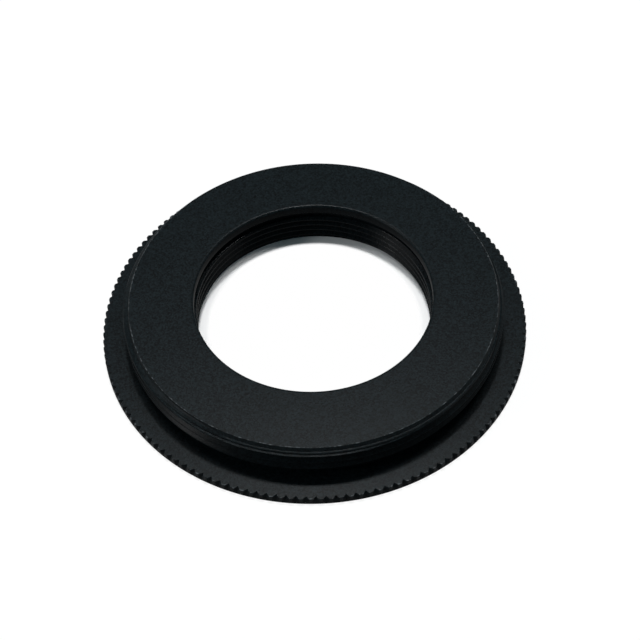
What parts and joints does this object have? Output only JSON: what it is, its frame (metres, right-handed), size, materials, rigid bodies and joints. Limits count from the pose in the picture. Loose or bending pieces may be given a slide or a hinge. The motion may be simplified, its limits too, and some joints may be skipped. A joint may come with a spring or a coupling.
{
  "type": "lens adapter ring",
  "caption": "Thin turned ring that joins a lens to a camera or tube: threaded spigot over a knurled flange, with a threaded bore that stops under a lip.",
  "frame": {"origin": "centre of the flange's lower face, on the ring's axis", "axes": "+Z along the ring's axis, from the flange towards the threaded spigot; +X and +Y are free, because the ring is round"},
  "size_m": [0.044, 0.044, 0.0048],
  "materials": {
    "black_anodised_aluminium": "black anodised over a fine bead blast"
  },
  "bodies": {
    "root": {"adapter_ring": "black_anodised_aluminium"}
  },
  "joints": []
}
